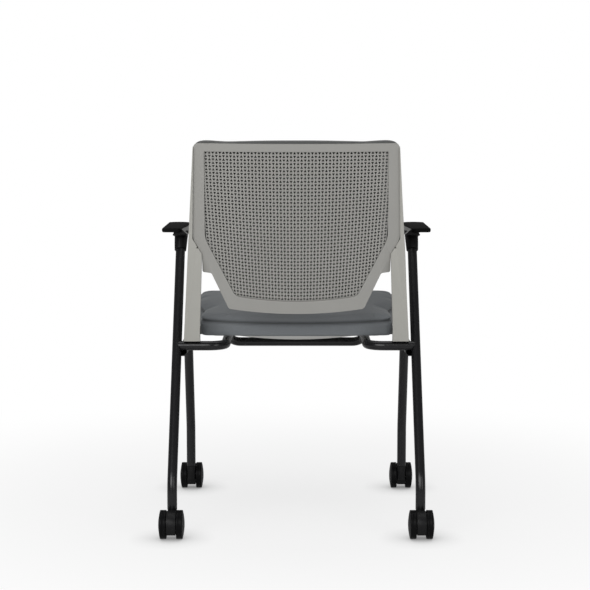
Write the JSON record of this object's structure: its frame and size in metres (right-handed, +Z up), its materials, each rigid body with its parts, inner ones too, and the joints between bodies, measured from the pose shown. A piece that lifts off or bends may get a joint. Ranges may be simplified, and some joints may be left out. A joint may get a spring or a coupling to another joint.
{
  "type": "nesting chair",
  "caption": "Nesting office chair: raked tubular frame on twin-wheel casters, flip-up padded seat, perforated back shell with front upholstery, two armrests.",
  "frame": {"origin": "floor under the middle of the part's box: X = 0 is the plane of symmetry, Z = 0 is the floor, Y = 0 is half way between the rear of the rear casters and the front of the seat", "axes": "+X to the sitter's right, +Y forward in the sitter's direction, +Z up"},
  "size_m": [0.624, 0.6608, 0.8606],
  "materials": {
    "frame_paint": "black powder coat on steel tube, satin",
    "shell_grey": "moulded warm light grey, fine spark texture",
    "pan_grey": "moulded light grey, satin",
    "seat_fabric": "woven mid grey upholstery",
    "back_fabric": "woven dark grey upholstery",
    "arm_foam": "integral-skin polyurethane, black",
    "black_nylon": "moulded black nylon, fine grain",
    "wheel_nylon": "hard nylon wheel, satin",
    "rest_rubber": "black rubber",
    "plywood": "unfinished beech plywood",
    "plain_steel": "bright zinc on steel",
    "dark_steel": "black zinc on steel"
  },
  "bodies": {
    "chair_frame": {"rear_leg_left": "frame_paint", "rear_leg_right": "frame_paint", "front_leg_left": "frame_paint", "front_leg_right": "frame_paint", "pivot_stub_left": "frame_paint", "pivot_stub_right": "frame_paint", "seat_carrier": "frame_paint", "upright_left": "shell_grey", "upright_right": "shell_grey", "back_shell": "shell_grey", "back_pad": "back_fabric", "shell_screws": "dark_steel", "arm_bracket_left": "black_nylon", "arm_bracket_right": "black_nylon", "arm_pad_left": "arm_foam", "arm_pad_right": "arm_foam", "arm_screws": "dark_steel", "hinge_bracket_left": "frame_paint", "hinge_bracket_right": "frame_paint", "hinge_pins": "plain_steel", "leg_inserts": "black_nylon"},
    "seat": {"seat_pad": "seat_fabric", "seat_board": "plywood", "seat_pan": "pan_grey", "seat_arm_left": "frame_paint", "seat_arm_right": "frame_paint", "pan_screws": "dark_steel", "rest_pads": "rest_rubber"},
    "caster_rear_left": {"caster_body_rear_left": "black_nylon", "caster_stem_rear_left": "plain_steel", "caster_axle_rear_left": "plain_steel"},
    "wheel_rear_left_out": {"wheel_rear_left_out": "wheel_nylon"},
    "wheel_rear_left_in": {"wheel_rear_left_in": "wheel_nylon"},
    "caster_rear_right": {"caster_body_rear_right": "black_nylon", "caster_stem_rear_right": "plain_steel", "caster_axle_rear_right": "plain_steel"},
    "wheel_rear_right_out": {"wheel_rear_right_out": "wheel_nylon"},
    "wheel_rear_right_in": {"wheel_rear_right_in": "wheel_nylon"},
    "caster_front_left": {"caster_body_front_left": "black_nylon", "caster_stem_front_left": "plain_steel", "caster_axle_front_left": "plain_steel"},
    "wheel_front_left_out": {"wheel_front_left_out": "wheel_nylon"},
    "wheel_front_left_in": {"wheel_front_left_in": "wheel_nylon"},
    "caster_front_right": {"caster_body_front_right": "black_nylon", "caster_stem_front_right": "plain_steel", "caster_axle_front_right": "plain_steel"},
    "wheel_front_right_out": {"wheel_front_right_out": "wheel_nylon"},
    "wheel_front_right_in": {"wheel_front_right_in": "wheel_nylon"}
  },
  "joints": [
    {"name": "seat_flip", "type": "hinge", "parent": "chair_frame", "child": "seat", "pos_m": [0, -0.0295, 0.43], "axis": [1, 0, 0], "range_deg": [0, 82]},
    {"name": "swivel_rear_left", "type": "hinge", "parent": "chair_frame", "child": "caster_rear_left", "pos_m": [-0.2694, -0.2725, 0.05], "axis": [0, 0, 1], "continuous": true},
    {"name": "roll_rear_left_out", "type": "hinge", "parent": "caster_rear_left", "child": "wheel_rear_left_out", "pos_m": [-0.2694, -0.2995, 0.031], "axis": [1, 0, 0], "continuous": true},
    {"name": "roll_rear_left_in", "type": "hinge", "parent": "caster_rear_left", "child": "wheel_rear_left_in", "pos_m": [-0.2694, -0.2995, 0.031], "axis": [1, 0, 0], "continuous": true},
    {"name": "swivel_rear_right", "type": "hinge", "parent": "chair_frame", "child": "caster_rear_right", "pos_m": [0.2694, -0.2725, 0.05], "axis": [0, 0, 1], "continuous": true},
    {"name": "roll_rear_right_out", "type": "hinge", "parent": "caster_rear_right", "child": "wheel_rear_right_out", "pos_m": [0.2694, -0.2995, 0.031], "axis": [1, 0, 0], "continuous": true},
    {"name": "roll_rear_right_in", "type": "hinge", "parent": "caster_rear_right", "child": "wheel_rear_right_in", "pos_m": [0.2694, -0.2995, 0.031], "axis": [1, 0, 0], "continuous": true},
    {"name": "swivel_front_left", "type": "hinge", "parent": "chair_frame", "child": "caster_front_left", "pos_m": [-0.256, 0.1775, 0.05], "axis": [0, 0, 1], "continuous": true},
    {"name": "roll_front_left_out", "type": "hinge", "parent": "caster_front_left", "child": "wheel_front_left_out", "pos_m": [-0.256, 0.2045, 0.031], "axis": [1, 0, 0], "continuous": true},
    {"name": "roll_front_left_in", "type": "hinge", "parent": "caster_front_left", "child": "wheel_front_left_in", "pos_m": [-0.256, 0.2045, 0.031], "axis": [1, 0, 0], "continuous": true},
    {"name": "swivel_front_right", "type": "hinge", "parent": "chair_frame", "child": "caster_front_right", "pos_m": [0.256, 0.1775, 0.05], "axis": [0, 0, 1], "continuous": true},
    {"name": "roll_front_right_out", "type": "hinge", "parent": "caster_front_right", "child": "wheel_front_right_out", "pos_m": [0.256, 0.2045, 0.031], "axis": [1, 0, 0], "continuous": true},
    {"name": "roll_front_right_in", "type": "hinge", "parent": "caster_front_right", "child": "wheel_front_right_in", "pos_m": [0.256, 0.2045, 0.031], "axis": [1, 0, 0], "continuous": true}
  ]
}
